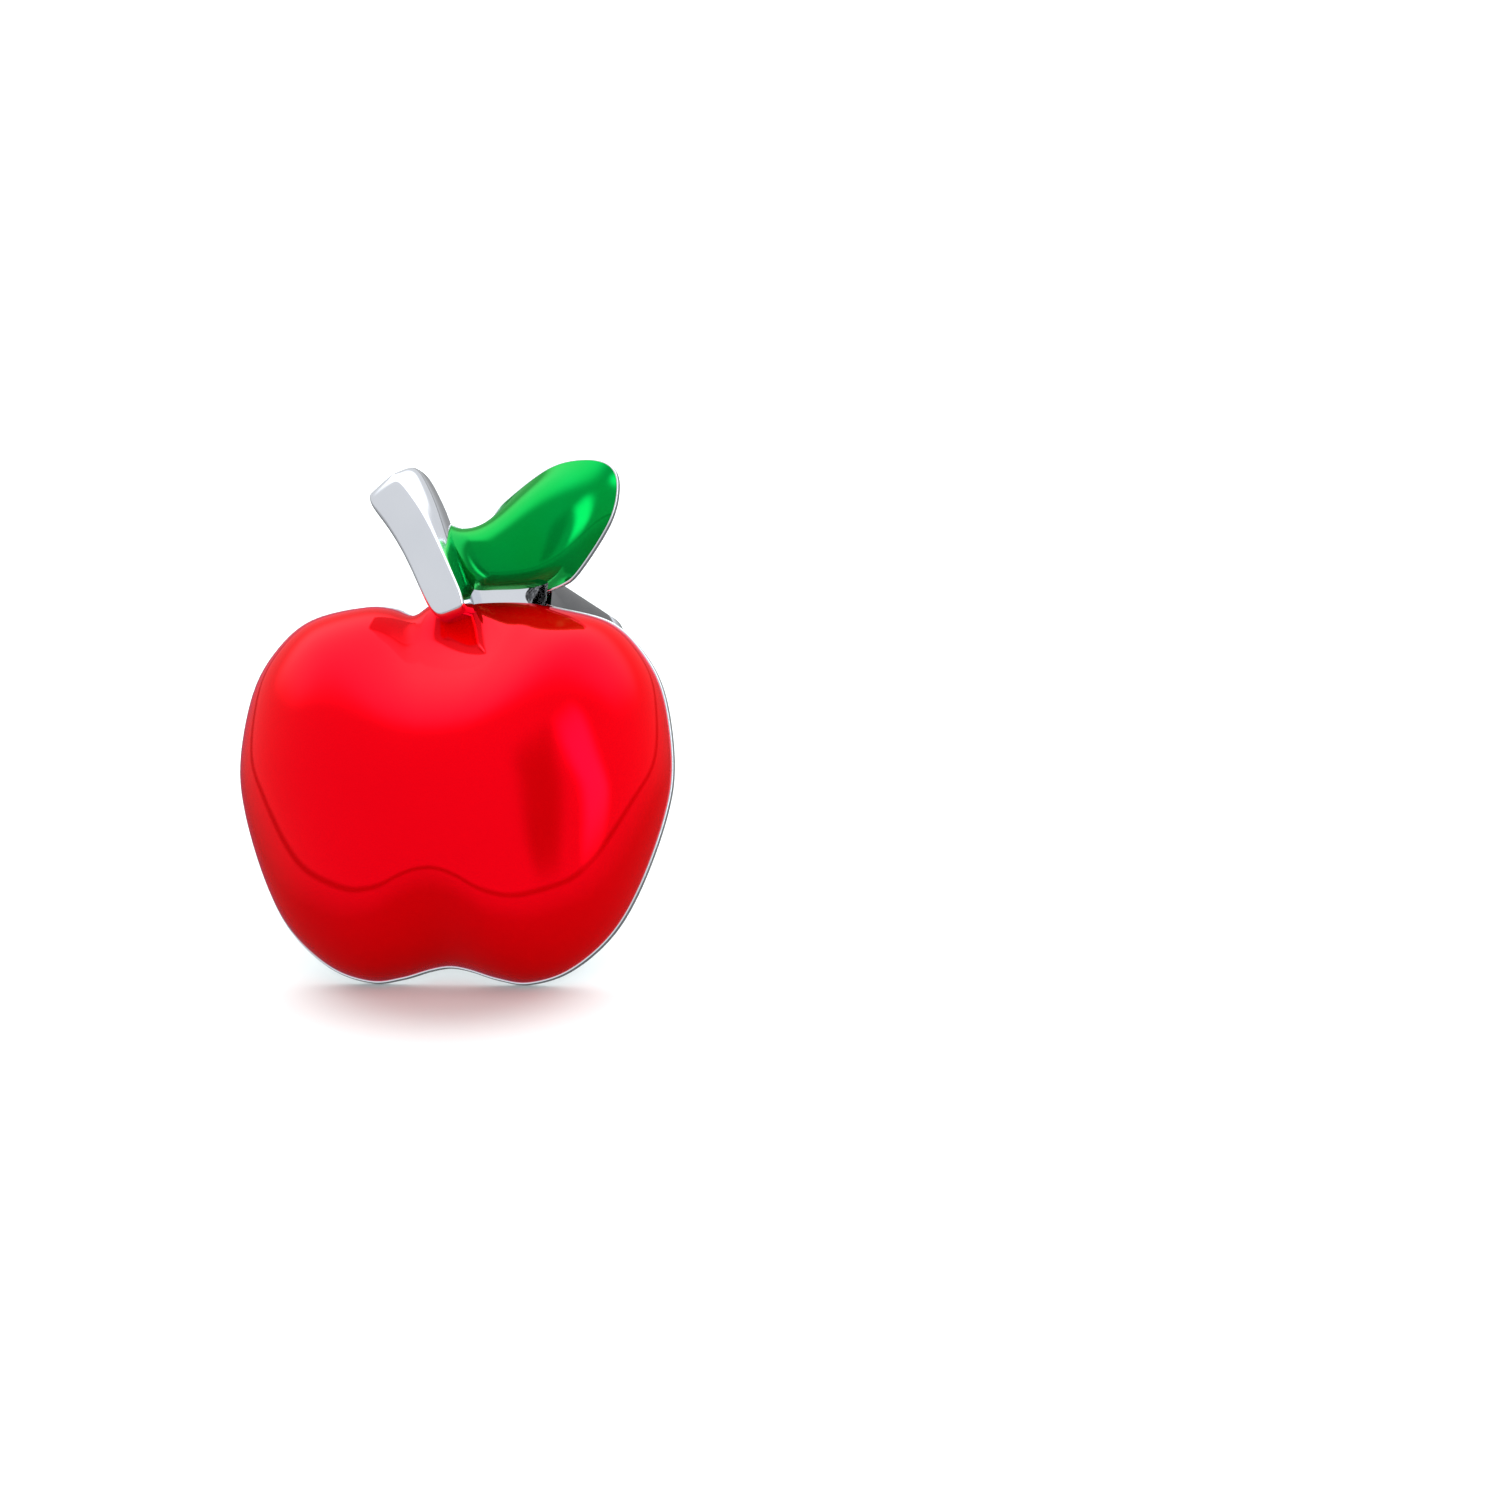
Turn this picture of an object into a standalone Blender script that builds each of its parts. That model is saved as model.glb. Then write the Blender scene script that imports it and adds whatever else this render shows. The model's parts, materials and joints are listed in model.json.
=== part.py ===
"""Apple stud earring: a flat-backed silver casting, two domed enamel fillings and an ear post.

The pieces are modelled flat: X runs across the face, Y up the face and Z out of the face, with the
flat back at Z = 0 and the middle of the apple at the origin. Their parent empty then leans them
back to the way a stud lies on a table, on the two lobes of the apple and the tip of the post, with
the face towards -Y.
"""
import math

import bmesh
import bpy
from mathutils import Vector

MM = 0.001

# ---- driving dimensions -----------------------------------------------------------------------
APPLE_WIDTH = 8.35 * MM
APPLE_HEIGHT = 7.16 * MM          # top of the shoulders to the bottom of the lobes
APPLE_SEAT = 0.18 * MM            # seat of the apple enamel, above the apple's back
APPLE_RISE = 2.66 * MM            # red dome above its seat
STEM_HOLLOW = 1.60 * MM           # how far the red dome sinks where the stem enters
NOTCH_HOLLOW = 0.35 * MM          # how far it sinks beside the notch between the lobes
RIM = 0.03 * MM                   # bare silver left around each enamel
CLEARANCE = 0.02 * MM             # between two pieces that touch
LIMB_STEP = 0.10 * MM             # back of the leaf, web and stem, in front of the apple's back

LEAF_SEAT = 0.28 * MM             # seat of the leaf enamel, above the apple's back
LEAF_RISE = 0.86 * MM             # green dome above its seat
LEAF_CROWN = Vector((1.15 * MM, 4.40 * MM))

WEB_FRONT = 0.50 * MM             # front of the web, above the apple's back
STEM_LEFT_EDGE = 1.15 * MM        # height of the stem's left wall, above the apple's back
STEM_RIGHT_EDGE = 0.95 * MM       # height of its right wall
STEM_END_DROP = 0.20 * MM         # how much lower the stem is at its two ends
STEM_CREST = 1.45 * MM            # crest of the stem, above the apple's back

POST_DIAMETER = 0.80 * MM
POST_LENGTH = 10.00 * MM          # apple's back to the tip
POST_PLACE = (0.72 * MM, 4.30 * MM)
FOOT_DIAMETER = 1.08 * MM
FOOT_LENGTH = 0.30 * MM
GROOVE_FROM_TIP = 1.15 * MM       # tip to the middle of the friction groove
GROOVE_WIDTH = 0.36 * MM
GROOVE_DEPTH = 0.09 * MM

CURVE_STEPS = 2                   # points made for each control point of an outline
DOME_RINGS = 7
POST_SIDES = 24
TIP_RINGS = 5

# ---- outlines -----------------------------------------------------------------------------------
# Right side of the apple, from the shoulder down to the notch: shares of half the width and height.
APPLE_SIDE = [
    (0.440, 1.000), (0.690, 0.925), (0.848, 0.760), (0.951, 0.530), (1.000, 0.170),
    (0.970, -0.120), (0.862, -0.490), (0.735, -0.745), (0.550, -0.930), (0.365, -1.000),
    (0.220, -0.980), (0.090, -0.935), (0.000, -0.918),
]
# Top of the apple between the shoulders, left to right: the dip, and the rise behind the stem.
APPLE_TOP = [
    (-0.300, 0.990), (-0.212, 0.953), (-0.135, 1.015), (0.050, 1.045), (0.330, 1.030),
]
# Leaf, clockwise from where its upper edge leaves the stem.
LEAF_EDGE = [
    (-0.50, 5.20), (0.10, 5.04), (0.31, 5.06), (0.52, 5.20), (0.79, 5.58), (1.62, 6.22),
    (2.30, 6.39), (2.80, 6.28), (2.98, 5.90), (2.85, 5.20), (2.30, 4.28), (1.95, 3.97),
    (1.36, 3.80), (0.70, 3.85), (0.26, 3.67), (-0.15, 3.90), (-0.45, 4.46), (-0.60, 4.90),
]
# Web between the top of the apple and the leaf, with a hollow right end.
WEB_EDGE = [
    (-0.10, 3.30), (-0.10, 4.30), (1.70, 4.30), (1.58, 4.00), (1.42, 3.86), (1.36, 3.74),
    (1.44, 3.62), (1.62, 3.52), (1.62, 3.30),
]
# Stem: x and y of the middle line, width, and where the crest lies across half the width.
STEM_STATIONS = [
    (0.14, 3.24, 0.44, 0.60),
    (0.10, 3.34, 0.72, 0.66),
    (-0.02, 3.56, 0.86, 0.70),
    (-0.16, 3.84, 0.87, 0.70),
    (-0.40, 4.36, 0.88, 0.66),
    (-0.57, 4.73, 0.93, 0.58),
    (-0.78, 5.14, 1.02, 0.46),
    (-0.94, 5.40, 1.08, 0.36),
    (-1.15, 5.71, 1.14, 0.28),
    (-1.29, 5.90, 1.00, 0.26),
]


def scaled(points, width, height):
    return [Vector((x * width, y * height)) for x, y in points]


def smooth_loop(points):
    """Closed Catmull-Rom curve through the control points."""
    count = len(points)
    curve = []
    for i in range(count):
        before, start, end, after = (points[(i + k) % count] for k in (-1, 0, 1, 2))
        for step in range(CURVE_STEPS):
            t = step / CURVE_STEPS
            curve.append(0.5 * (2 * start + (end - before) * t
                                + (2 * before - 5 * start + 4 * end - after) * t ** 2
                                + (3 * start - before - 3 * end + after) * t ** 3))
    return curve


def area_centre(outline):
    """Centre of the area that a closed outline encloses."""
    pairs = list(zip(outline, outline[1:] + outline[:1]))
    area = sum(a.cross(b) for a, b in pairs)
    return sum(((a + b) * a.cross(b) for a, b in pairs), Vector((0.0, 0.0))) / (3.0 * area)


def inset(outline, distance):
    """Move each point of a clockwise outline inwards, square to the outline."""
    moved = []
    for i, point in enumerate(outline):
        along = (outline[(i + 1) % len(outline)] - outline[i - 1]).normalized()
        moved.append(point + distance * Vector((along.y, -along.x)))
    return moved


def material(name, colour, metallic, roughness):
    made = bpy.data.materials.new(name)
    made.use_nodes = True
    shader = made.node_tree.nodes["Principled BSDF"]
    shader.inputs["Base Color"].default_value = (*colour, 1.0)
    shader.inputs["Metallic"].default_value = metallic
    shader.inputs["Roughness"].default_value = roughness
    return made


def add_object(name, bm, finish):
    """Make a named, outward-facing object from a bmesh and hang it on the earring."""
    bmesh.ops.triangulate(bm, faces=[face for face in bm.faces if len(face.verts) > 4])
    bmesh.ops.recalc_face_normals(bm, faces=bm.faces)
    mesh = bpy.data.meshes.new(name)
    bm.to_mesh(mesh)
    bm.free()
    mesh.shade_smooth()
    mesh.set_sharp_from_angle(angle=math.radians(35))
    mesh.materials.append(finish)
    made = bpy.data.objects.new(name, mesh)
    bpy.context.collection.objects.link(made)
    made.parent = earring
    return made


def skin_rings(bm, rings):
    """Join each ring of vertices to the next with quads, and close the first ring."""
    count = len(rings[0])
    for lower, upper in zip(rings, rings[1:]):
        for i in range(count):
            j = (i + 1) % count
            bm.faces.new((lower[i], lower[j], upper[j], upper[i]))
    bm.faces.new(rings[0])


def plate(name, outline, bottom, top, finish):
    """Flat plate between two heights."""
    bm = bmesh.new()
    face = bm.faces.new([bm.verts.new((*point, bottom)) for point in outline])
    raised = bmesh.ops.extrude_face_region(bm, geom=[face])["geom"]
    front = [item for item in raised if isinstance(item, bmesh.types.BMVert)]
    bmesh.ops.translate(bm, verts=front, vec=(0.0, 0.0, top - bottom))
    return add_object(name, bm, finish)


def dome(name, outline, centre, seat, height_at, finish):
    """Enamel cushion: rings shrink to the centre of the outline and turn round as they climb."""
    radius = sum((point - centre).length for point in outline) / len(outline)
    bm = bmesh.new()
    rings = []
    for k in range(DOME_RINGS):
        angle = 0.5 * math.pi * k / DOME_RINGS
        share = math.cos(angle)
        climb = math.sin(angle)
        spots = []
        for point in outline:
            offset = point - centre
            rounded = offset.normalized() * radius
            spots.append(centre + share * offset.lerp(rounded, 1.0 - share))
        rings.append([bm.verts.new((*spot, seat + climb * height_at(spot))) for spot in spots])
    skin_rings(bm, rings)
    crown = bm.verts.new((*centre, seat + height_at(centre)))
    for i, vert in enumerate(rings[-1]):
        bm.faces.new((rings[-1][i - 1], vert, crown))
    return add_object(name, bm, finish)


def bell(spot, centre, width, height):
    """1 at the centre, falling to 0 over the given width and height."""
    return math.exp(-((spot.x - centre[0]) / width) ** 2 - ((spot.y - centre[1]) / height) ** 2)


def apple_height(spot):
    half_height = 0.5 * APPLE_HEIGHT
    stem_side = bell(spot, (0.0, half_height), 0.21 * APPLE_WIDTH, 0.25 * APPLE_HEIGHT)
    notch_side = bell(spot, (0.0, -half_height), 0.10 * APPLE_WIDTH, 0.18 * APPLE_HEIGHT)
    return APPLE_RISE - STEM_HOLLOW * stem_side - NOTCH_HOLLOW * notch_side


def leaf_height(spot):
    return LEAF_RISE


def stem_bar(name, finish, margin):
    """Sweep a crested section along the middle line; both ends are drawn in to a bevel."""
    low = LIMB_STEP - margin
    bm = bmesh.new()
    rings = []
    last = len(STEM_STATIONS) - 1
    for i, (x, y, width, crest) in enumerate(STEM_STATIONS):
        behind = Vector(STEM_STATIONS[max(i - 1, 0)][:2])
        ahead = Vector(STEM_STATIONS[min(i + 1, last)][:2])
        along = (ahead - behind).normalized()
        across = Vector((along.y, -along.x))
        raised = margin - (STEM_END_DROP if i in (0, last) else 0.0)
        section = [(-1.0, low), (-1.0, STEM_LEFT_EDGE + raised), (crest, STEM_CREST + raised),
                   (1.0, STEM_RIGHT_EDGE + raised), (1.0, low)]
        half_width = 0.5 * width * MM + margin
        middle = Vector((x, y)) * MM
        ring = []
        for share, height in section:
            spot = middle + across * half_width * share
            ring.append(bm.verts.new((*spot, height)))
        rings.append(ring)
    skin_rings(bm, rings)
    bm.faces.new(rings[-1])
    return add_object(name, bm, finish)


def ear_post(name, finish):
    """Turn the post profile about its own axis: foot, shaft, friction groove, rounded tip."""
    radius = 0.5 * POST_DIAMETER
    foot = 0.5 * FOOT_DIAMETER
    groove = POST_LENGTH - GROOVE_FROM_TIP
    start = CLEARANCE - LIMB_STEP
    profile = [
        (0.0, start),
        (foot, start),
        (foot, start + 0.3 * FOOT_LENGTH),
        (0.6 * radius + 0.4 * foot, start + 0.6 * FOOT_LENGTH),
        (radius, start + FOOT_LENGTH),
        (radius, groove - 0.5 * GROOVE_WIDTH),
        (radius - GROOVE_DEPTH, groove - 0.2 * GROOVE_WIDTH),
        (radius - GROOVE_DEPTH, groove + 0.2 * GROOVE_WIDTH),
        (radius, groove + 0.5 * GROOVE_WIDTH),
    ]
    for step in range(TIP_RINGS):
        angle = 0.5 * math.pi * step / TIP_RINGS
        profile.append((radius * math.cos(angle), POST_LENGTH - radius + radius * math.sin(angle)))
    profile.append((0.0, POST_LENGTH))
    bm = bmesh.new()
    verts = [bm.verts.new((across, 0.0, -along)) for across, along in profile]
    edges = [bm.edges.new(pair) for pair in zip(verts, verts[1:])]
    bmesh.ops.spin(bm, geom=verts + edges, cent=(0, 0, 0), axis=(0, 0, 1),
                   angle=2 * math.pi, steps=POST_SIDES, use_merge=True)
    bmesh.ops.remove_doubles(bm, verts=bm.verts, dist=0.001 * MM)
    made = add_object(name, bm, finish)
    made.location = (*POST_PLACE, 0.0)
    return made


def combine(base, guide, operation):
    """Add a guide solid to the base, or cut it out of the base, with a live Boolean."""
    guide.hide_render = True
    guide.display_type = "WIRE"
    boolean = base.modifiers.new(guide.name, "BOOLEAN")
    boolean.operation = operation
    boolean.object = guide


def lean_back(outline):
    """Lean the earring until the lobes and the tip of the post are level."""
    reach = POST_LENGTH - 0.5 * POST_DIAMETER
    drop = POST_PLACE[1] - min(point.y for point in outline)
    tip_share = 0.5 * POST_DIAMETER / math.hypot(reach, drop)
    lean = math.atan2(drop, reach) - math.asin(tip_share)
    earring.rotation_euler.x = 0.5 * math.pi - lean
    print(f"leans back {math.degrees(lean):.2f} degrees")


def stand_on_origin(pieces):
    """Move the earring so that its box stands centred on the origin."""
    bpy.context.view_layer.update()
    depsgraph = bpy.context.evaluated_depsgraph_get()
    corners = []
    for piece in pieces:
        shape = piece.evaluated_get(depsgraph)
        corners += [shape.matrix_world @ vert.co for vert in shape.data.vertices]
    low = Vector([min(corner[axis] for corner in corners) for axis in range(3)])
    high = Vector([max(corner[axis] for corner in corners) for axis in range(3)])
    middle = 0.5 * (low + high)
    earring.location -= Vector((middle.x, middle.y, low.z))
    print("size in mm", [round(side / MM, 3) for side in high - low])


for old in list(bpy.data.objects):
    bpy.data.objects.remove(old, do_unlink=True)

earring = bpy.data.objects.new("earring", None)
bpy.context.collection.objects.link(earring)

silver = material("silver", (0.80, 0.82, 0.85), 1.0, 0.12)
red_enamel = material("red_enamel", (0.78, 0.01, 0.01), 0.0, 0.08)
green_enamel = material("green_enamel", (0.01, 0.33, 0.09), 0.0, 0.08)

# Outlines at full size, all clockwise seen from the front.
right_side = scaled(APPLE_SIDE, 0.5 * APPLE_WIDTH, 0.5 * APPLE_HEIGHT)
left_side = [Vector((-point.x, point.y)) for point in reversed(right_side[:-1])]
top_side = scaled(APPLE_TOP, 0.5 * APPLE_WIDTH, 0.5 * APPLE_HEIGHT)
apple_outline = smooth_loop(right_side + left_side + top_side)
leaf_outline = smooth_loop(scaled(LEAF_EDGE, MM, MM))
web_outline = scaled(WEB_EDGE, MM, MM)

# One casting: the apple plate with the web, the leaf plate and the stem united with it.
casting = plate("silver_casting", apple_outline, 0.0, APPLE_SEAT, silver)
combine(casting, plate("web_guide", web_outline, LIMB_STEP, WEB_FRONT, silver), "UNION")
combine(casting, plate("leaf_guide", leaf_outline, LIMB_STEP, LEAF_SEAT, silver), "UNION")
combine(casting, stem_bar("stem_guide", silver, 0.0), "UNION")

# The two enamels.
apple_rim = inset(apple_outline, RIM)
apple_enamel = dome("apple_enamel", apple_rim, area_centre(apple_rim), APPLE_SEAT + CLEARANCE,
                    apple_height, red_enamel)
leaf_enamel = dome("leaf_enamel", inset(leaf_outline, RIM), LEAF_CROWN, LEAF_SEAT + CLEARANCE,
                   leaf_height, green_enamel)
for enamel in (apple_enamel, leaf_enamel):
    stem_cutter = stem_bar(f"{enamel.name}_stem_cutter", silver, CLEARANCE)
    web_cutter = plate(f"{enamel.name}_web_cutter", inset(web_outline, -CLEARANCE),
                       LIMB_STEP - CLEARANCE, WEB_FRONT + CLEARANCE, silver)
    combine(enamel, stem_cutter, "DIFFERENCE")
    combine(enamel, web_cutter, "DIFFERENCE")
post = ear_post("ear_post", silver)

lean_back(apple_outline)
stand_on_origin([casting, apple_enamel, leaf_enamel, post])
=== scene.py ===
# %% [markdown]
# # An enamelled apple stud earring
#
# The earring is a small silver casting with two pools of glossy enamel on its face and a wire post
# behind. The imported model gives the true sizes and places. This notebook gives every piece its finished
# surface: smooth domes of enamel, a polished stem with a soft ridge, a rim that catches the light, and
# a turned post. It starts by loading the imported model, which is never moved.

import json
import math

import bmesh
import bpy
from mathutils import Matrix, Vector


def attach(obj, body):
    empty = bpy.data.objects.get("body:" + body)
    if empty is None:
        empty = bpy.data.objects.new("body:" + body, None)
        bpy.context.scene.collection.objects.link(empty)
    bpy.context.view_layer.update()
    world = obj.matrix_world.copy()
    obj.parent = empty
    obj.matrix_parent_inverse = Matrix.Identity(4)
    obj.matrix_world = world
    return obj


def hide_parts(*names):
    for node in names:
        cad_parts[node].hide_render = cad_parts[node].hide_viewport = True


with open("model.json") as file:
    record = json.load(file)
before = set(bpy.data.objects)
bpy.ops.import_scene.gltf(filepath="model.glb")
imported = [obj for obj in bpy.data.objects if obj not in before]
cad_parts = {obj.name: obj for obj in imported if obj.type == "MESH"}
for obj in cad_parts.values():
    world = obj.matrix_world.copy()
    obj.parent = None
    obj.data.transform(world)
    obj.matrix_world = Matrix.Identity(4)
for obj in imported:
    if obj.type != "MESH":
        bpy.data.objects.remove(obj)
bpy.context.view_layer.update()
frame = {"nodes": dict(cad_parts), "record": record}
MM = 0.001
print("packed nodes:", ", ".join(sorted(frame["nodes"])))

# %% [markdown]
# ## A frame of reference on the face
#
# The earring leans back, so shapes are hard to think about in upright coordinates. One way out is to
# model everything flat and lean it at the end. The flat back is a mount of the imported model, and the
# mount says where the back is and which way it looks. That gives a matrix from face coordinates, with
# X across the face, Y up the face and Z out of it, to the place where the earring lies.

# %% Face frame
flat_back = next(mount for mount in frame["record"]["mounts"] if mount["name"] == "flat_back")
out_of_face = -Vector(flat_back["axis"]).normalized()
across_face = Vector((1.0, 0.0, 0.0))
up_face = out_of_face.cross(across_face)
lie_down = Matrix((across_face, up_face, out_of_face)).transposed().to_4x4()
lie_down.translation = Vector(flat_back["pos_m"])
stand_up = lie_down.inverted()
lean = math.degrees(math.asin(out_of_face.z))
print(f"the face leans back by {lean:.1f} degrees")


def face_box(node_name):
    """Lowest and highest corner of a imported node, measured in face coordinates."""
    corners = [stand_up @ vertex.co for vertex in frame["nodes"][node_name].data.vertices]
    low = Vector([min(corner[axis] for corner in corners) for axis in range(3)])
    high = Vector([max(corner[axis] for corner in corners) for axis in range(3)])
    return low, high


apple_low, _ = face_box("apple_enamel")
leaf_low, _ = face_box("leaf_enamel")
_, cast_high = face_box("silver_casting")
post_low, post_high = face_box("ear_post")
for name in ("apple_enamel", "leaf_enamel", "silver_casting", "ear_post"):
    low, high = face_box(name)
    print(name, "from", [round(v / MM, 2) for v in low], "to", [round(v / MM, 2) for v in high], "mm")

# %% [markdown]
# ## Outlines as smooth curves
#
# The apple, the leaf and the web between them are flat outlines first. A few points are enough if a
# smooth curve runs through them. The apple's sides and lobes are the same left and right, so only the
# right side is listed, in shares of half the width and half the height, and the left side is its mirror
# image. Its top is not the same on both sides: a dip to the left of the stem, and a rise behind it.

# %% Outlines
APPLE_HEIGHT = 7.16 * MM          # shoulders to lobes
RIM = 0.03 * MM                   # bare silver round each enamel
CLEARANCE = 0.02 * MM             # between a plate and the enamel on it
LIMB_BACK = 0.10 * MM             # back of the leaf, web and stem, in front of the apple's back
WEB_FRONT = 0.50 * MM             # front of the web, above the apple's back
CURVE_STEPS = 10                  # straight pieces between two control points

APPLE_SIDE = [
    (0.440, 1.000), (0.690, 0.925), (0.848, 0.760), (0.951, 0.530), (1.000, 0.170),
    (0.970, -0.120), (0.862, -0.490), (0.735, -0.745), (0.550, -0.930), (0.365, -1.000),
    (0.220, -0.980), (0.090, -0.935), (0.000, -0.918),
]
APPLE_TOP = [
    (-0.300, 0.990), (-0.212, 0.953), (-0.135, 1.015), (0.050, 1.045), (0.330, 1.030),
]
LEAF_EDGE = [
    (-0.50, 5.20), (0.10, 5.04), (0.31, 5.06), (0.52, 5.20), (0.79, 5.58), (1.62, 6.22),
    (2.30, 6.39), (2.80, 6.28), (2.98, 5.90), (2.85, 5.20), (2.30, 4.28), (1.95, 3.97),
    (1.36, 3.80), (0.70, 3.85), (0.26, 3.67), (-0.15, 3.90), (-0.45, 4.46), (-0.60, 4.90),
]
WEB_EDGE = [
    (-0.10, 3.30), (-0.10, 4.30), (1.70, 4.30), (1.58, 4.00), (1.42, 3.86), (1.36, 3.74),
    (1.44, 3.62), (1.62, 3.52), (1.62, 3.30),
]


def scaled(points, width, height):
    return [Vector((x * width, y * height)) for x, y in points]


def smooth_loop(points):
    """Closed smooth curve through the points, as a list of many short steps."""
    count = len(points)
    loop = []
    for i in range(count):
        before, start, end, after = (points[(i + k) % count] for k in (-1, 0, 1, 2))
        for step in range(CURVE_STEPS):
            t = step / CURVE_STEPS
            loop.append(0.5 * (2 * start + (end - before) * t
                               + (2 * before - 5 * start + 4 * end - after) * t ** 2
                               + (3 * start - before - 3 * end + after) * t ** 3))
    return loop


half_width = cast_high.x
half_height = 0.5 * APPLE_HEIGHT
right_side = scaled(APPLE_SIDE, half_width, half_height)
left_side = [Vector((-point.x, point.y)) for point in reversed(right_side[:-1])]
apple_outline = smooth_loop(right_side + left_side + scaled(APPLE_TOP, half_width, half_height))
leaf_outline = smooth_loop(scaled(LEAF_EDGE, MM, MM))
web_outline = smooth_loop(scaled(WEB_EDGE, MM, MM))
print(f"apple {2 * half_width / MM:.2f} mm wide, {2 * half_height / MM:.2f} mm high")


def area_centre(outline):
    """Centre of the area that a closed outline encloses."""
    pairs = list(zip(outline, outline[1:] + outline[:1]))
    area = sum(a.cross(b) for a, b in pairs)
    return sum(((a + b) * a.cross(b) for a, b in pairs), Vector((0.0, 0.0))) / (3.0 * area)


def inset(outline, distance):
    """Move each point of a clockwise outline inwards, square to the outline."""
    moved = []
    for i, point in enumerate(outline):
        along = (outline[(i + 1) % len(outline)] - outline[i - 1]).normalized()
        moved.append(point + distance * Vector((along.y, -along.x)))
    return moved


# %% [markdown]
# ## Small helpers for node trees
#
# Geometry Nodes and materials are both trees of nodes. Adding a node by hand takes three or four lines
# each time, so one helper adds it, sets its options and feeds its inputs with numbers or with the
# outputs of other nodes.

# %% Node helpers
def add_node(tree, kind, feeds=None, **options):
    """Add a node to a tree. Feeds maps an input to a value or to another node's output."""
    made = tree.nodes.new(kind)
    for option, value in options.items():
        setattr(made, option, value)
    for key, value in (feeds or {}).items():
        if isinstance(value, bpy.types.NodeSocket):
            tree.links.new(value, made.inputs[key])
        else:
            made.inputs[key].default_value = value
    return made


def calc(tree, operation, *values):
    """One arithmetic step on numbers."""
    return add_node(tree, "ShaderNodeMath", dict(enumerate(values)), operation=operation).outputs[0]


def calc_vector(tree, operation, first, second):
    """One arithmetic step on vectors. SCALE takes a number as its second value."""
    slot = 3 if operation == "SCALE" else 1
    return add_node(tree, "ShaderNodeVectorMath", {0: first, slot: second},
                    operation=operation).outputs[0]


def length_of(tree, vector):
    return add_node(tree, "ShaderNodeVectorMath", {0: vector}, operation="LENGTH").outputs["Value"]


# %% [markdown]
# ## The rule behind both enamels
#
# Enamel is poured into a shallow seat and swells into a cushion. Its shape follows a rule: rings that
# start on the outline shrink towards the middle while they climb, fast at first and then flatter. A
# rule like that suits Geometry Nodes, and one tree can make both the apple and the leaf. A grid is
# wrapped on the outline: one direction runs round it, the other runs from the middle of the flat
# underside, out to the rim and up to the crown. Two bell-shaped hollows press into the surface, one
# where the stem enters the apple and one above the notch. A last blur melts small creases away.

# %% Enamel cushion tree
def new_tree(name, sockets):
    """Geometry Nodes tree with a geometry in and out and the named inputs."""
    tree = bpy.data.node_groups.new(name, "GeometryNodeTree")
    tree.interface.new_socket("Geometry", in_out="INPUT", socket_type="NodeSocketGeometry")
    tree.interface.new_socket("Geometry", in_out="OUTPUT", socket_type="NodeSocketGeometry")
    for socket_name, kind in sockets:
        tree.interface.new_socket(socket_name, in_out="INPUT", socket_type=f"NodeSocket{kind}")
    return tree


CUSHION_INPUTS = [
    ("Middle", "Vector"), ("Around", "Int"), ("Rings", "Int"), ("Seat", "Float"), ("Rise", "Float"),
    ("Stem hollow", "Float"), ("Stem place", "Vector"), ("Stem spread", "Vector"),
    ("Notch hollow", "Float"), ("Notch place", "Vector"), ("Notch spread", "Vector"),
    ("Soften", "Int"), ("Material", "Material"),
]


def bell_nodes(tree, spot, depth, place, spread):
    """Depth of a bell-shaped hollow at a spot: full at its place, fading over its spread."""
    away = calc_vector(tree, "DIVIDE", calc_vector(tree, "SUBTRACT", spot, place), spread)
    square = calc(tree, "POWER", length_of(tree, away), 2.0)
    return calc(tree, "MULTIPLY", depth, calc(tree, "EXPONENT", calc(tree, "MULTIPLY", square, -1.0)))


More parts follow.
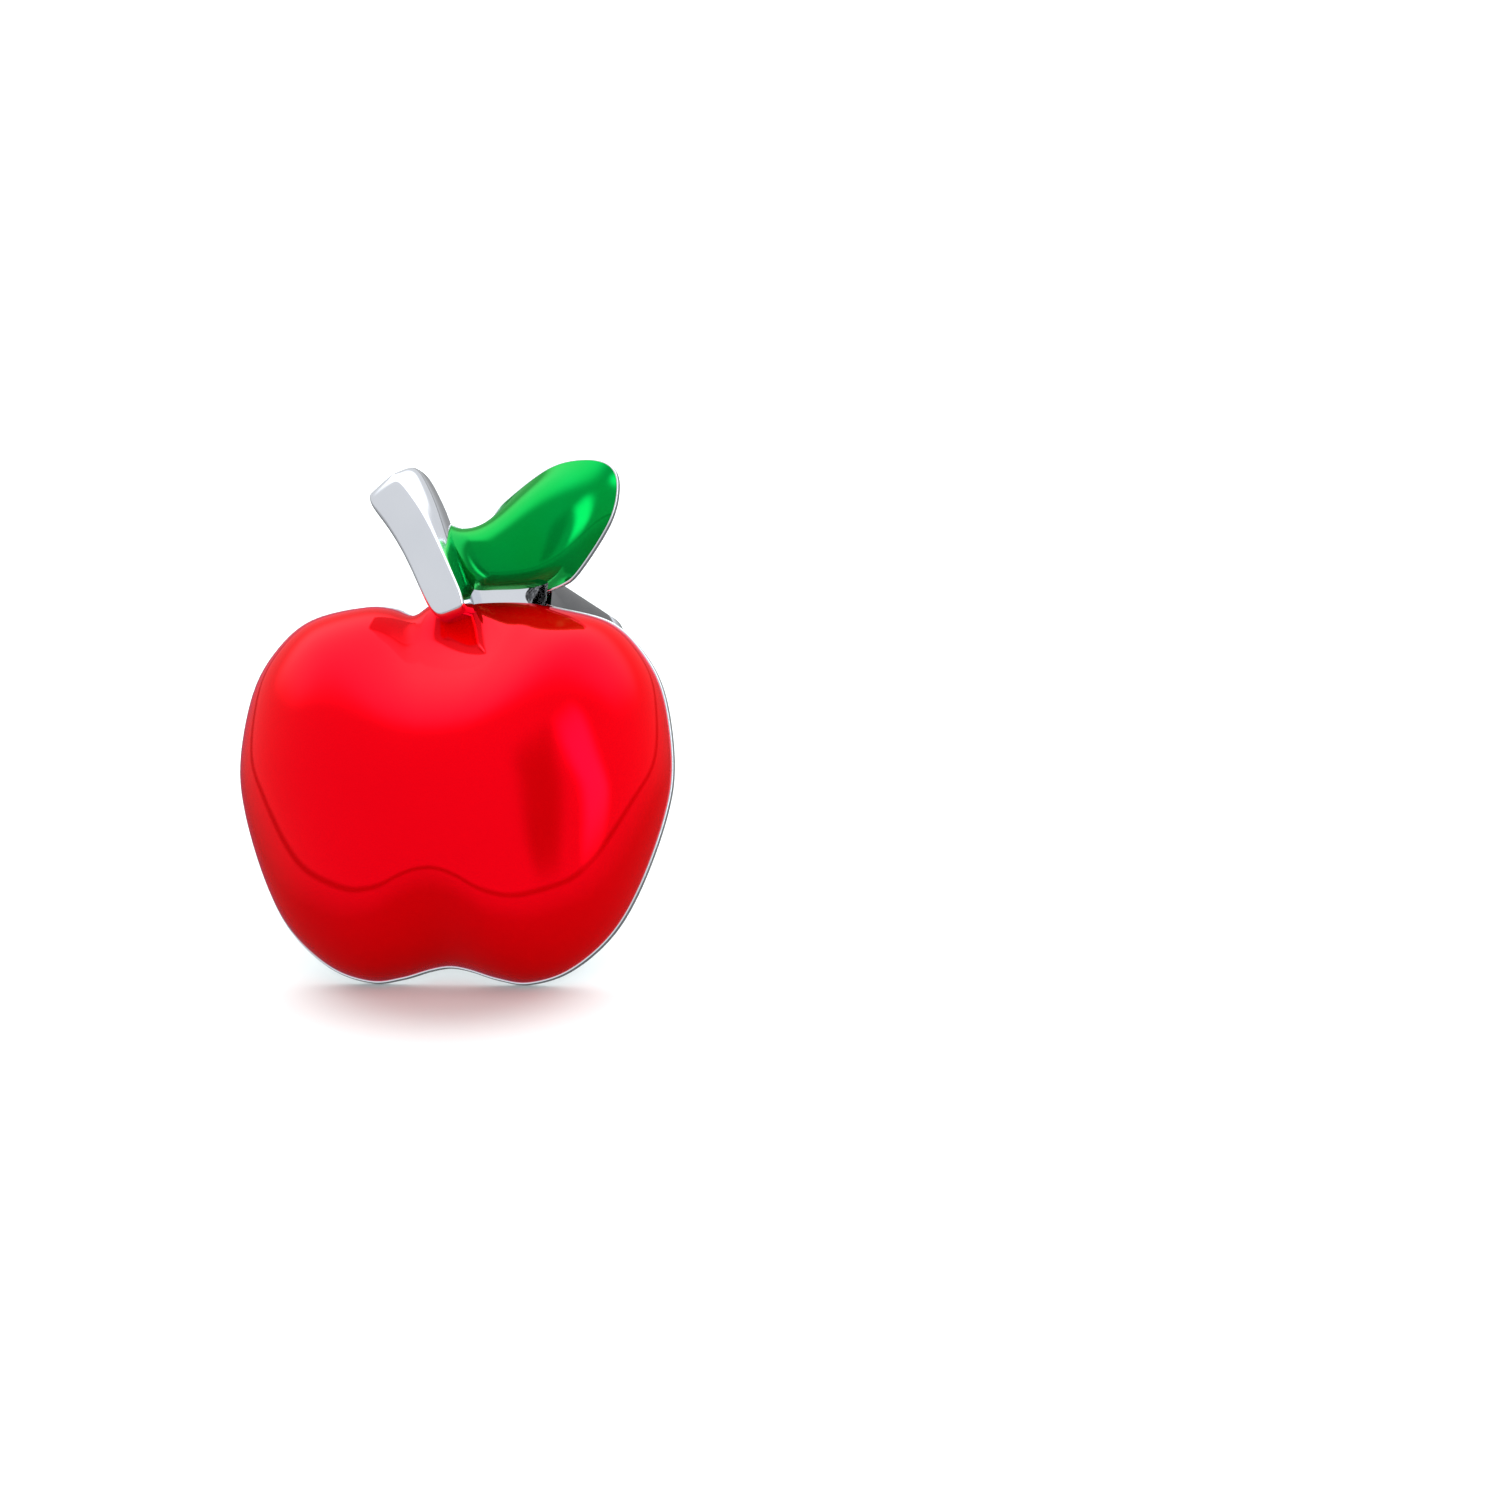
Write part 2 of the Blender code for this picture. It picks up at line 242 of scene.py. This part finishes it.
def cushion_tree():
    tree = new_tree("enamel_cushion", CUSHION_INPUTS)
    given = tree.nodes.new("NodeGroupInput").outputs
    outline = given["Geometry"]
    position = tree.nodes.new("GeometryNodeInputPosition").outputs[0]
    centre = given["Middle"]
    reach = length_of(tree, calc_vector(tree, "SUBTRACT", position, centre))
    radius = add_node(tree, "GeometryNodeAttributeStatistic",
                      {"Geometry": outline, "Attribute": reach}, data_type="FLOAT")
    radius = radius.outputs["Mean"]

    # The grid runs from -1 (middle of the underside) through 0 (rim) to 1 (crown).
    across_count = calc(tree, "ADD", given["Around"], 1.0)
    up_count = calc(tree, "ADD", calc(tree, "MULTIPLY", given["Rings"], 2.0), 1.0)
    grid = add_node(tree, "GeometryNodeMeshGrid", {
        "Size X": 1.0, "Size Y": 2.0, "Vertices X": across_count, "Vertices Y": up_count})
    split = add_node(tree, "ShaderNodeSeparateXYZ", {0: position})
    around = calc(tree, "ADD", split.outputs["X"], 0.5)
    turn = calc(tree, "MULTIPLY", split.outputs["Y"], 0.5 * math.pi)
    share = calc(tree, "COSINE", turn)
    climb = calc(tree, "MAXIMUM", calc(tree, "SINE", turn), 0.0)

    on_rim = add_node(tree, "GeometryNodeSampleCurve", {"Curves": outline, "Factor": around},
                      mode="FACTOR", use_all_curves=True)
    offset = calc_vector(tree, "SUBTRACT", on_rim.outputs["Position"], centre)
    direction = add_node(tree, "ShaderNodeVectorMath", {0: offset}, operation="NORMALIZE").outputs[0]
    rounded = calc_vector(tree, "SCALE", direction, radius)
    blended = add_node(tree, "ShaderNodeMix", {
        "Factor": calc(tree, "SUBTRACT", 1.0, share), 4: offset, 5: rounded}, data_type="VECTOR")
    spot = calc_vector(tree, "ADD", centre, calc_vector(tree, "SCALE", blended.outputs[1], share))

    stem_side = bell_nodes(tree, spot, given["Stem hollow"], given["Stem place"], given["Stem spread"])
    notch_side = bell_nodes(tree, spot, given["Notch hollow"], given["Notch place"],
                            given["Notch spread"])
    full = calc(tree, "SUBTRACT", calc(tree, "SUBTRACT", given["Rise"], stem_side), notch_side)
    height = calc(tree, "ADD", given["Seat"], calc(tree, "MULTIPLY", climb, full))
    flat = add_node(tree, "ShaderNodeSeparateXYZ", {0: spot})
    raised = add_node(tree, "ShaderNodeCombineXYZ", {
        "X": flat.outputs["X"], "Y": flat.outputs["Y"], "Z": height})
    shaped = add_node(tree, "GeometryNodeSetPosition", {
        "Geometry": grid.outputs["Mesh"], "Position": raised.outputs[0]})
    closed = add_node(tree, "GeometryNodeMergeByDistance", {
        "Geometry": shaped.outputs[0], "Distance": 0.00002 * MM})
    # Blurring the positions melts creases away. It fades to nothing at the rim, which stays put.
    level = add_node(tree, "ShaderNodeSeparateXYZ", {0: position}).outputs["Z"]
    above_seat = calc(tree, "SUBTRACT", level, given["Seat"])
    ease = add_node(tree, "ShaderNodeMapRange", {
        "Value": above_seat, "From Min": 0.0, "From Max": calc(tree, "MULTIPLY", given["Rise"], 0.6)})
    melted = add_node(tree, "GeometryNodeBlurAttribute", {
        "Iterations": given["Soften"], "Weight": ease.outputs[0]}, data_type="FLOAT_VECTOR")
    value_in = next(socket for socket in melted.inputs if socket.name == "Value" and socket.enabled)
    value_out = next(socket for socket in melted.outputs if socket.enabled)
    tree.links.new(position, value_in)
    smoothed = add_node(tree, "GeometryNodeSetPosition", {
        "Geometry": closed.outputs[0], "Position": value_out})
    real = add_node(tree, "GeometryNodeRealizeInstances", {"Geometry": smoothed.outputs[0]})
    painted = add_node(tree, "GeometryNodeSetMaterial", {
        "Geometry": real.outputs[0], "Material": given["Material"]})
    add_node(tree, "NodeGroupOutput", {"Geometry": painted.outputs[0]})
    return tree


enamel_cushion = cushion_tree()
print("enamel cushion tree:", len(enamel_cushion.nodes), "nodes")

# %% [markdown]
# ## From a tree to a plain mesh
#
# A modifier's inputs are set through the identifiers of its sockets. The evaluated result is copied into
# a plain mesh, and the modifier goes away with its curve. The mesh is then cleaned: its faces look
# outwards, its smooth shading breaks at real edges only, and it is laid down in its final place.

# %% Mesh makers
def outline_curve(name, outline):
    """Closed curve object through the points of an outline."""
    curve = bpy.data.curves.new(name, "CURVE")
    curve.dimensions = "3D"
    spline = curve.splines.new("POLY")
    spline.points.add(len(outline) - 1)
    for spline_point, point in zip(spline.points, outline):
        spline_point.co = (point.x, point.y, 0.0, 1.0)
    spline.use_cyclic_u = True
    made = bpy.data.objects.new(name, curve)
    bpy.context.collection.objects.link(made)
    return made


def finish_mesh(mesh, sharp_degrees=40.0):
    """Turn the faces outwards, shade smoothly and keep real edges sharp."""
    bm = bmesh.new()
    bm.from_mesh(mesh)
    bmesh.ops.recalc_face_normals(bm, faces=bm.faces)
    bm.to_mesh(mesh)
    bm.free()
    mesh.shade_smooth()
    mesh.set_sharp_from_angle(angle=math.radians(sharp_degrees))


def lay_piece(name, mesh, node_name):
    """Put a mesh modelled flat into its place, and hand it over to the frame."""
    mesh.transform(lie_down)
    mesh.update()
    piece = bpy.data.objects.new(name, mesh)
    bpy.context.collection.objects.link(piece)
    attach(piece, "root")
    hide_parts(node_name)
    print(name, len(mesh.vertices), "vertices,", len(mesh.polygons), "faces")
    return piece


def run_tree(source, tree, values):
    """Evaluate a Geometry Nodes tree on an object and return the result as a plain mesh."""
    modifier = source.modifiers.new(tree.name, "NODES")
    modifier.node_group = tree
    for item in tree.interface.items_tree:
        if item.in_out == "INPUT" and item.name in values:
            modifier[item.identifier] = values[item.name]
    bpy.context.view_layer.update()
    depsgraph = bpy.context.evaluated_depsgraph_get()
    mesh = bpy.data.meshes.new_from_object(source.evaluated_get(depsgraph), depsgraph=depsgraph)
    source.modifiers.remove(modifier)
    bpy.data.objects.remove(source, do_unlink=True)
    return mesh


# %% [markdown]
# ## Enamel finishes
#
# Enamel is coloured glass, so smooth that it mirrors the lamps. Light that goes through the glass comes
# back coloured from the silver under it, which makes it look deep. A share of metal in a smooth
# Principled shader imitates that. Real enamel is never perfectly even: its colour drifts slightly where
# the glass is thicker, and the surface keeps a very faint orange-peel from firing. Slow noise drives the
# colour, and a finer noise drives the bump and the roughness.

# %% Enamel materials
SILVER_SHARE = 0.55               # light that comes back from the silver under the glass


def enamel_material(name, deep, bright, patch_size, tint):
    """Glossy enamel whose colour drifts between two close tones."""
    made = bpy.data.materials.new(name)
    made.use_nodes = True
    tree = made.node_tree
    tree.nodes.clear()
    coords = tree.nodes.new("ShaderNodeTexCoord").outputs["Object"]
    drift = add_node(tree, "ShaderNodeTexNoise", {
        "Vector": coords, "Scale": 1.0 / patch_size, "Detail": 2.0})
    colour = add_node(tree, "ShaderNodeMix", {
        "Factor": drift.outputs["Fac"], 6: (*deep, 1.0), 7: (*bright, 1.0)}, data_type="RGBA")
    fine = add_node(tree, "ShaderNodeTexNoise", {
        "Vector": coords, "Scale": 1.0 / (0.35 * MM), "Detail": 3.0})
    rough = add_node(tree, "ShaderNodeMapRange", {
        "Value": fine.outputs["Fac"], "To Min": 0.03, "To Max": 0.07})
    peel = add_node(tree, "ShaderNodeBump", {
        "Height": fine.outputs["Fac"], "Strength": 0.02, "Distance": 0.02 * MM})
    shader = add_node(tree, "ShaderNodeBsdfPrincipled", {
        "Base Color": colour.outputs[2], "Roughness": rough.outputs[0], "Normal": peel.outputs[0],
        "Metallic": SILVER_SHARE, "IOR": 1.50, "Specular Tint": (*tint, 1.0)})
    add_node(tree, "ShaderNodeOutputMaterial", {"Surface": shader.outputs[0]})
    return made


red_enamel = enamel_material("red_enamel", (0.86, 0.0, 0.0), (0.94, 0.0, 0.001), 2.5 * MM,
                             (1.0, 0.04, 0.45))
green_enamel = enamel_material("green_enamel", (0.0, 0.24, 0.02), (0.0, 0.30, 0.05), 1.2 * MM,
                               (0.02, 1.0, 0.4))

# %% [markdown]
# ## Polished silver
#
# The casting and the post are one metal. Polished silver is nearly a mirror, slightly cool in tone. A
# polishing wheel leaves hair-fine lines and a faint waviness, which keep the reflections from looking
# like a computer's chrome. Stretched noise gives the hairlines, and slow noise varies the roughness.

# %% Silver material
def silver_material(name):
    made = bpy.data.materials.new(name)
    made.use_nodes = True
    tree = made.node_tree
    tree.nodes.clear()
    coords = tree.nodes.new("ShaderNodeTexCoord").outputs["Object"]
    stretched = add_node(tree, "ShaderNodeMapping", {"Vector": coords, "Scale": (14.0, 1.0, 3.0)})
    hairlines = add_node(tree, "ShaderNodeTexNoise", {
        "Vector": stretched.outputs[0], "Scale": 1.0 / (0.8 * MM), "Detail": 4.0})
    cloud = add_node(tree, "ShaderNodeTexNoise", {
        "Vector": coords, "Scale": 1.0 / (1.1 * MM), "Detail": 2.0})
    tone = add_node(tree, "ShaderNodeMix", {
        "Factor": cloud.outputs["Fac"], 6: (0.76, 0.80, 0.87, 1.0), 7: (0.85, 0.88, 0.94, 1.0)},
        data_type="RGBA")
    rough = add_node(tree, "ShaderNodeMapRange", {
        "Value": cloud.outputs["Fac"], "To Min": 0.07, "To Max": 0.14})
    lines = add_node(tree, "ShaderNodeBump", {
        "Height": hairlines.outputs["Fac"], "Strength": 0.05, "Distance": 0.01 * MM})
    shader = add_node(tree, "ShaderNodeBsdfPrincipled", {
        "Base Color": tone.outputs[2], "Metallic": 1.0, "Roughness": rough.outputs[0],
        "Normal": lines.outputs[0]})
    add_node(tree, "ShaderNodeOutputMaterial", {"Surface": shader.outputs[0]})
    return made


silver = silver_material("polished_silver")
print("materials:", red_enamel.name, green_enamel.name, silver.name)

# %% [markdown]
# ## The red apple
#
# The apple is a cushion with two hollows. The one at the top is wide and deep: it is the dimple that a
# real apple has round its stem. The one at the bottom is narrow and shallow, and makes the two lobes.

# %% Apple enamel
APPLE_RISE = 2.66 * MM            # dome above its seat
STEM_HOLLOW = 1.60 * MM           # how far the dome sinks at the stem
NOTCH_HOLLOW = 0.35 * MM          # how far it sinks at the notch
apple_rim = inset(apple_outline, RIM)
apple_mesh = run_tree(outline_curve("apple_outline", apple_rim), enamel_cushion, {
    "Middle": (*area_centre(apple_rim), 0.0), "Around": 240, "Rings": 56,
    "Seat": apple_low.z, "Rise": APPLE_RISE,
    "Stem hollow": STEM_HOLLOW, "Stem place": (0.0, half_height, 0.0),
    "Stem spread": (0.42 * half_width, 0.50 * half_height, 1.0),
    "Notch hollow": NOTCH_HOLLOW, "Notch place": (0.0, -half_height, 0.0),
    "Notch spread": (0.20 * half_width, 0.36 * half_height, 1.0),
    "Soften": 4, "Material": red_enamel,
})
finish_mesh(apple_mesh)
lay_piece("apple_dome", apple_mesh, "apple_enamel")

# %% [markdown]
# ## The green leaf
#
# The same tree makes the leaf, lower and with no hollows. Its outline has a neck, so rings that shrink
# to the middle of its area would fold. The crown sits lower instead, where it sees the whole outline,
# and a strong blur melts the crease that the neck would leave.

# %% Leaf enamel
LEAF_RISE = 0.86 * MM
LEAF_CROWN = (1.15 * MM, 4.40 * MM, 0.0)
leaf_rim = inset(leaf_outline, RIM)
leaf_mesh = run_tree(outline_curve("leaf_outline", leaf_rim), enamel_cushion, {
    "Middle": LEAF_CROWN, "Around": 180, "Rings": 36,
    "Seat": leaf_low.z, "Rise": LEAF_RISE,
    "Stem hollow": 0.0, "Stem place": (0.0, 0.0, 0.0), "Stem spread": (1.0, 1.0, 1.0),
    "Notch hollow": 0.0, "Notch place": (0.0, 0.0, 0.0), "Notch spread": (1.0, 1.0, 1.0),
    "Soften": 250, "Material": green_enamel,
})
finish_mesh(leaf_mesh)
lay_piece("leaf_dome", leaf_mesh, "leaf_enamel")

# %% [markdown]
# ## Back plates with a polished rim
#
# Each enamel lies on a flat silver plate of its own outline. A plate is the outline, pulled up to a
# thickness, with its two edges rounded over by a bevel so that the rim catches a thin line of light.

# %% Silver plates
PLATE_EDGE = 0.02 * MM            # rounding of the plates' edges
WEB_EDGE_ROUND = 0.06 * MM


def plate_mesh(name, outline, bottom, top, edge):
    """Flat plate between two heights, with rounded edges."""
    bm = bmesh.new()
    face = bm.faces.new([bm.verts.new((point.x, point.y, bottom)) for point in outline])
    raised = bmesh.ops.extrude_face_region(bm, geom=[face])["geom"]
    front = [item for item in raised if isinstance(item, bmesh.types.BMVert)]
    bmesh.ops.translate(bm, verts=front, vec=(0.0, 0.0, top - bottom))
    edges = [e for e in bm.edges if abs(e.verts[0].co.z - e.verts[1].co.z) < 0.1 * edge]
    bmesh.ops.bevel(bm, geom=edges, offset=edge, segments=4, profile=0.5, affect="EDGES")
    mesh = bpy.data.meshes.new(name)
    bm.to_mesh(mesh)
    bm.free()
    mesh.materials.append(silver)
    return mesh


apple_plate = plate_mesh("apple_plate", apple_outline, 0.0, apple_low.z - CLEARANCE, PLATE_EDGE)
finish_mesh(apple_plate)
lay_piece("apple_plate", apple_plate, "silver_casting")
leaf_plate = plate_mesh("leaf_plate", leaf_outline, LIMB_BACK, leaf_low.z - CLEARANCE, PLATE_EDGE)
finish_mesh(leaf_plate)
lay_piece("leaf_plate", leaf_plate, "silver_casting")

web = plate_mesh("web", web_outline, LIMB_BACK, WEB_FRONT, WEB_EDGE_ROUND)
finish_mesh(web)
lay_piece("leaf_web", web, "silver_casting")

# %% [markdown]
# ## The curved stem
#
# The stem is a bar that bends to the left as it rises and grows a little wider. Its face has two flats
# that meet in a soft ridge. A ring of points, the section, is placed at each station of the middle line
# and joined to the next one. A narrow bevel keeps the edges firm while subdivision rounds the bar.

# %% Stem
STEM_STATIONS = [
    # x, y of the middle line, width, place of the ridge across half the width; lengths in mm
    (0.14, 3.24, 0.44, 0.60),
    (0.10, 3.34, 0.72, 0.66),
    (-0.02, 3.56, 0.86, 0.70),
    (-0.16, 3.84, 0.87, 0.70),
    (-0.40, 4.36, 0.88, 0.66),
    (-0.57, 4.73, 0.93, 0.58),
    (-0.78, 5.14, 1.02, 0.46),
    (-0.94, 5.40, 1.08, 0.36),
    (-1.15, 5.71, 1.14, 0.28),
    (-1.29, 5.90, 1.00, 0.26),
]
STEM_EDGE_ROUND = 0.08 * MM
stem_crest = cast_high.z


def stem_mesh():
    bm = bmesh.new()
    rings = []
    last = len(STEM_STATIONS) - 1
    for i, (x, y, width, ridge) in enumerate(STEM_STATIONS):
        behind = Vector(STEM_STATIONS[max(i - 1, 0)][:2])
        ahead = Vector(STEM_STATIONS[min(i + 1, last)][:2])
        along = (ahead - behind).normalized()
        across = Vector((along.y, -along.x))
        end_drop = 0.85 if i in (0, last) else 1.0
        section = [(-1.0, 0.0), (-1.0, 0.40), (-1.0, 0.78), (0.5 * (ridge - 1.0), 0.90),
                   (ridge, 1.0), (0.5 * (ridge + 1.0), 0.83), (1.0, 0.64), (1.0, 0.30), (1.0, 0.0)]
        ring = []
        for share, depth in section:
            spot = Vector((x, y)) * MM + across * 0.5 * width * MM * share
            height = LIMB_BACK + (stem_crest - LIMB_BACK) * depth * end_drop
            ring.append(bm.verts.new((spot.x, spot.y, height)))
        rings.append(ring)
    count = len(rings[0])
    for low_ring, high_ring in zip(rings, rings[1:]):
        for i in range(count):
            j = (i + 1) % count
            bm.faces.new((low_ring[i], low_ring[j], high_ring[j], high_ring[i]))
    bm.faces.new(rings[0])
    bm.faces.new(rings[-1])
    bmesh.ops.recalc_face_normals(bm, faces=bm.faces)
    mesh = bpy.data.meshes.new("stem")
    bm.to_mesh(mesh)
    bm.free()
    mesh.materials.append(silver)
    return mesh


stem_cage = bpy.data.objects.new("stem_cage", stem_mesh())
bpy.context.collection.objects.link(stem_cage)
rounding = stem_cage.modifiers.new("rounding", "BEVEL")
rounding.width = STEM_EDGE_ROUND
rounding.segments = 2
rounding.limit_method = "ANGLE"
rounding.angle_limit = math.radians(40)
smoothing = stem_cage.modifiers.new("smoothing", "SUBSURF")
smoothing.levels = 3
smoothing.render_levels = 3
depsgraph = bpy.context.evaluated_depsgraph_get()
stem_bar = bpy.data.meshes.new_from_object(stem_cage.evaluated_get(depsgraph), depsgraph=depsgraph)
bpy.data.objects.remove(stem_cage, do_unlink=True)
finish_mesh(stem_bar, 60.0)
lay_piece("stem_bar", stem_bar, "silver_casting")

# %% [markdown]
# ## The ear post
#
# A lathe turns a profile about an axis, and so does the spin operator. The profile lists the radius at
# each depth behind the face: a flared foot where the wire is soldered on, the plain wire, the friction
# groove that an ear nut clicks into, and a tip rounded so that it slides through the ear.

# %% Post
post_centre = Vector((0.5 * (post_low.x + post_high.x), 0.5 * (post_low.y + post_high.y), 0.0))
post_radius = 0.40 * MM
foot_radius = 0.5 * (post_high.x - post_low.x)
tip_depth = post_low.z
GROOVE_FROM_TIP = 1.15 * MM
TIP_STEPS = 12
FOOT_FLARE = [(0.14, 0.47), (0.25, 0.42), (0.40, 0.40)]      # mm from its front, radius in mm
GROOVE_DIP = [                                               # mm from its middle, depth in mm
    (0.20, 0.0), (0.16, 0.015), (0.08, 0.075), (0.0, 0.09),
    (-0.08, 0.075), (-0.16, 0.015), (-0.20, 0.0),
]
groove = tip_depth + GROOVE_FROM_TIP
profile = [(0.0, post_high.z), (foot_radius, post_high.z), (foot_radius, post_high.z - 0.05 * MM)]
profile += [(radius * MM, post_high.z - along * MM) for along, radius in FOOT_FLARE]
profile += [(post_radius - depth * MM, groove + along * MM) for along, depth in GROOVE_DIP]
for step in range(TIP_STEPS):
    angle = 0.5 * math.pi * step / TIP_STEPS
    profile.append((post_radius * math.cos(angle), tip_depth + post_radius * (1.0 - math.sin(angle))))
profile.append((0.0, tip_depth))
bm = bmesh.new()
verts = [bm.verts.new((radius, 0.0, depth)) for radius, depth in profile]
edges = [bm.edges.new(pair) for pair in zip(verts, verts[1:])]
bmesh.ops.spin(bm, geom=verts + edges, cent=(0, 0, 0), axis=(0, 0, 1), angle=2 * math.pi, steps=72)
bmesh.ops.remove_doubles(bm, verts=bm.verts, dist=0.0001 * MM)
bmesh.ops.translate(bm, verts=bm.verts, vec=post_centre)
post_mesh = bpy.data.meshes.new("post")
bm.to_mesh(post_mesh)
bm.free()
post_mesh.materials.append(silver)
finish_mesh(post_mesh, 50.0)
lay_piece("post_wire", post_mesh, "ear_post")

# %% [markdown]
# ## Table, light and camera
#
# The earring lies on a plain pale table in a white room. The table is left out of reflections, because
# its far edge would draw a hard line in the enamel: the room below paints a soft one. Its faint coolness
# evens out the red light that the apple throws on it.

# %% Table
table_mesh = bpy.data.meshes.new("table")
table_half = 1.5
table_mesh.from_pydata([(-table_half, -table_half, 0), (table_half, -table_half, 0),
                        (table_half, table_half, 0), (-table_half, table_half, 0)], [], [(0, 1, 2, 3)])
table = bpy.data.objects.new("table", table_mesh)
bpy.context.collection.objects.link(table)
white = bpy.data.materials.new("white_table")
white.use_nodes = True
white_shader = white.node_tree.nodes["Principled BSDF"]
white_shader.inputs["Base Color"].default_value = (0.90, 0.96, 0.96, 1.0)
white_shader.inputs["Roughness"].default_value = 0.9
table_mesh.materials.append(white)
table.visible_glossy = False

# %% [markdown]
# ## Light painted on the room
#
# Glossy things show what is round them, so the room itself is the lamp. Its brightness depends on the
# height of the look direction, with a thin dark horizon and a darker floor below. Soft boxes are added
# on top: a wide one above and behind, a tall narrow one on the right, and a dark strip beside it that
# gives the highlight an edge to stand against. Their edges fade, since a real lamp is softened by cloth.

# %% Room brightness
world = bpy.data.worlds.new("white_room")
bpy.context.scene.world = world
world.use_nodes = True
room = world.node_tree
room.nodes.clear()
look = room.nodes.new("ShaderNodeTexCoord").outputs["Generated"]
look_up = add_node(room, "ShaderNodeSeparateXYZ", {0: look}).outputs["Z"]

ROOM_BRIGHTNESS = [
    # height of the look direction (-1 straight down, 1 straight up), brightness
    (-1.0, 0.10), (-0.45, 0.30), (-0.19, 0.80), (-0.165, 0.30), (-0.14, 0.30), (-0.11, 0.95), (1.0, 1.0),
]
walls = room.nodes.new("ShaderNodeValToRGB").color_ramp.elements
shades = walls.id_data.nodes[-1]
room.links.new(calc(room, "MULTIPLY_ADD", look_up, 0.5, 0.5), shades.inputs[0])
print("room brightness stops:", len(ROOM_BRIGHTNESS))
for i, (level, brightness) in enumerate(ROOM_BRIGHTNESS):
    stop = walls[i] if i < 2 else walls.new(0.5 + 0.5 * level)
    stop.position = 0.5 + 0.5 * level
    stop.color = (brightness, brightness, brightness, 1.0)


# %% Soft boxes
def calc_dot(vector, axis):
    return add_node(room, "ShaderNodeVectorMath", {0: vector, 1: axis},
                    operation="DOT_PRODUCT").outputs["Value"]


def aim_at(right, height):
    """Unit direction, from degrees to the right of the viewer's side and degrees above the table."""
    right, height = math.radians(right), math.radians(height)
    return Vector((math.sin(right) * math.cos(height), -math.cos(right) * math.cos(height),
                   math.sin(height)))


def soft_box(right, height, half_wide, half_high, strength):
    """Soft-edged bright patch of the room, sizes in degrees. A negative strength darkens."""
    centre = aim_at(right, height)
    side = Vector((math.cos(math.radians(right)), math.sin(math.radians(right)), 0.0))
    top = side.cross(centre) * -1.0
    facing = calc(room, "MAXIMUM", calc_dot(look, centre), 0.001)
    wide = calc(room, "DIVIDE", calc(room, "DIVIDE", calc_dot(look, side), facing),
                math.tan(math.radians(half_wide)))
    high = calc(room, "DIVIDE", calc(room, "DIVIDE", calc_dot(look, top), facing),
                math.tan(math.radians(half_high)))
    fade = calc(room, "ADD", calc(room, "POWER", calc(room, "ABSOLUTE", wide), 4.0),
                calc(room, "POWER", calc(room, "ABSOLUTE", high), 4.0))
    return calc(room, "MULTIPLY", strength, calc(room, "EXPONENT", calc(room, "MULTIPLY", fade, -1.0)))


SOFT_BOXES = {
    # degrees to the right, degrees up, half width, half height, strength
    "ceiling": (180.0, 56.0, 60.0, 30.0, 3.0),
    "right strip": (64.0, 26.0, 7.0, 28.0, 5.0),
    "dark strip": (38.0, 28.0, 9.0, 30.0, -0.65),
}
total = shades.outputs[0]
for box in SOFT_BOXES.values():
    total = calc(room, "ADD", total, soft_box(*box))
background = add_node(room, "ShaderNodeBackground", {"Strength": total})
add_node(room, "ShaderNodeOutputWorld", {"Surface": background.outputs[0]})
print("soft boxes:", ", ".join(SOFT_BOXES))

# %% [markdown]
# ## The camera
#
# A long lens from far away keeps a small thing free of distortion. The camera looks at the face from a
# little to its right and a little below, so its place is worked out from the face frame, not typed in.

# %% Camera
VIEW_RIGHT = math.radians(11.0)   # camera to the right of the face's own direction
VIEW_BELOW = math.radians(6.6)    # and below it
VIEW_ROLL = math.radians(1.6)
LENS = 250.0
SENSOR = 36.0
FRAME_WIDTH = 28.3 * MM           # width of the picture at the earring
AIM_SHIFT = Vector((5.56 * MM, 0.84 * MM))

toward = (math.cos(VIEW_BELOW) * (math.cos(VIEW_RIGHT) * out_of_face
                                  + math.sin(VIEW_RIGHT) * across_face)
          - math.sin(VIEW_BELOW) * up_face)
camera_z = toward.normalized()
camera_x = up_face.cross(camera_z).normalized()
camera_y = camera_z.cross(camera_x)
turn = Matrix.Rotation(VIEW_ROLL, 3, camera_z)
camera_x = turn @ camera_x
camera_y = turn @ camera_y
distance = FRAME_WIDTH * LENS / SENSOR
apple_middle = lie_down @ Vector((0.0, 0.0, apple_low.z))
aim = apple_middle + AIM_SHIFT.x * camera_x + AIM_SHIFT.y * camera_y
camera_data = bpy.data.cameras.new("camera")
camera_data.lens = LENS
camera_data.sensor_width = SENSOR
camera_data.clip_start = 0.01
camera_data.clip_end = 20.0
camera = bpy.data.objects.new("camera", camera_data)
bpy.context.collection.objects.link(camera)
pose = Matrix((camera_x, camera_y, camera_z)).transposed().to_4x4()
pose.translation = aim + distance * camera_z
camera.matrix_world = pose
bpy.context.scene.camera = camera
bpy.context.scene.view_settings.view_transform = "Standard"
print(f"camera {distance / MM:.0f} mm away")
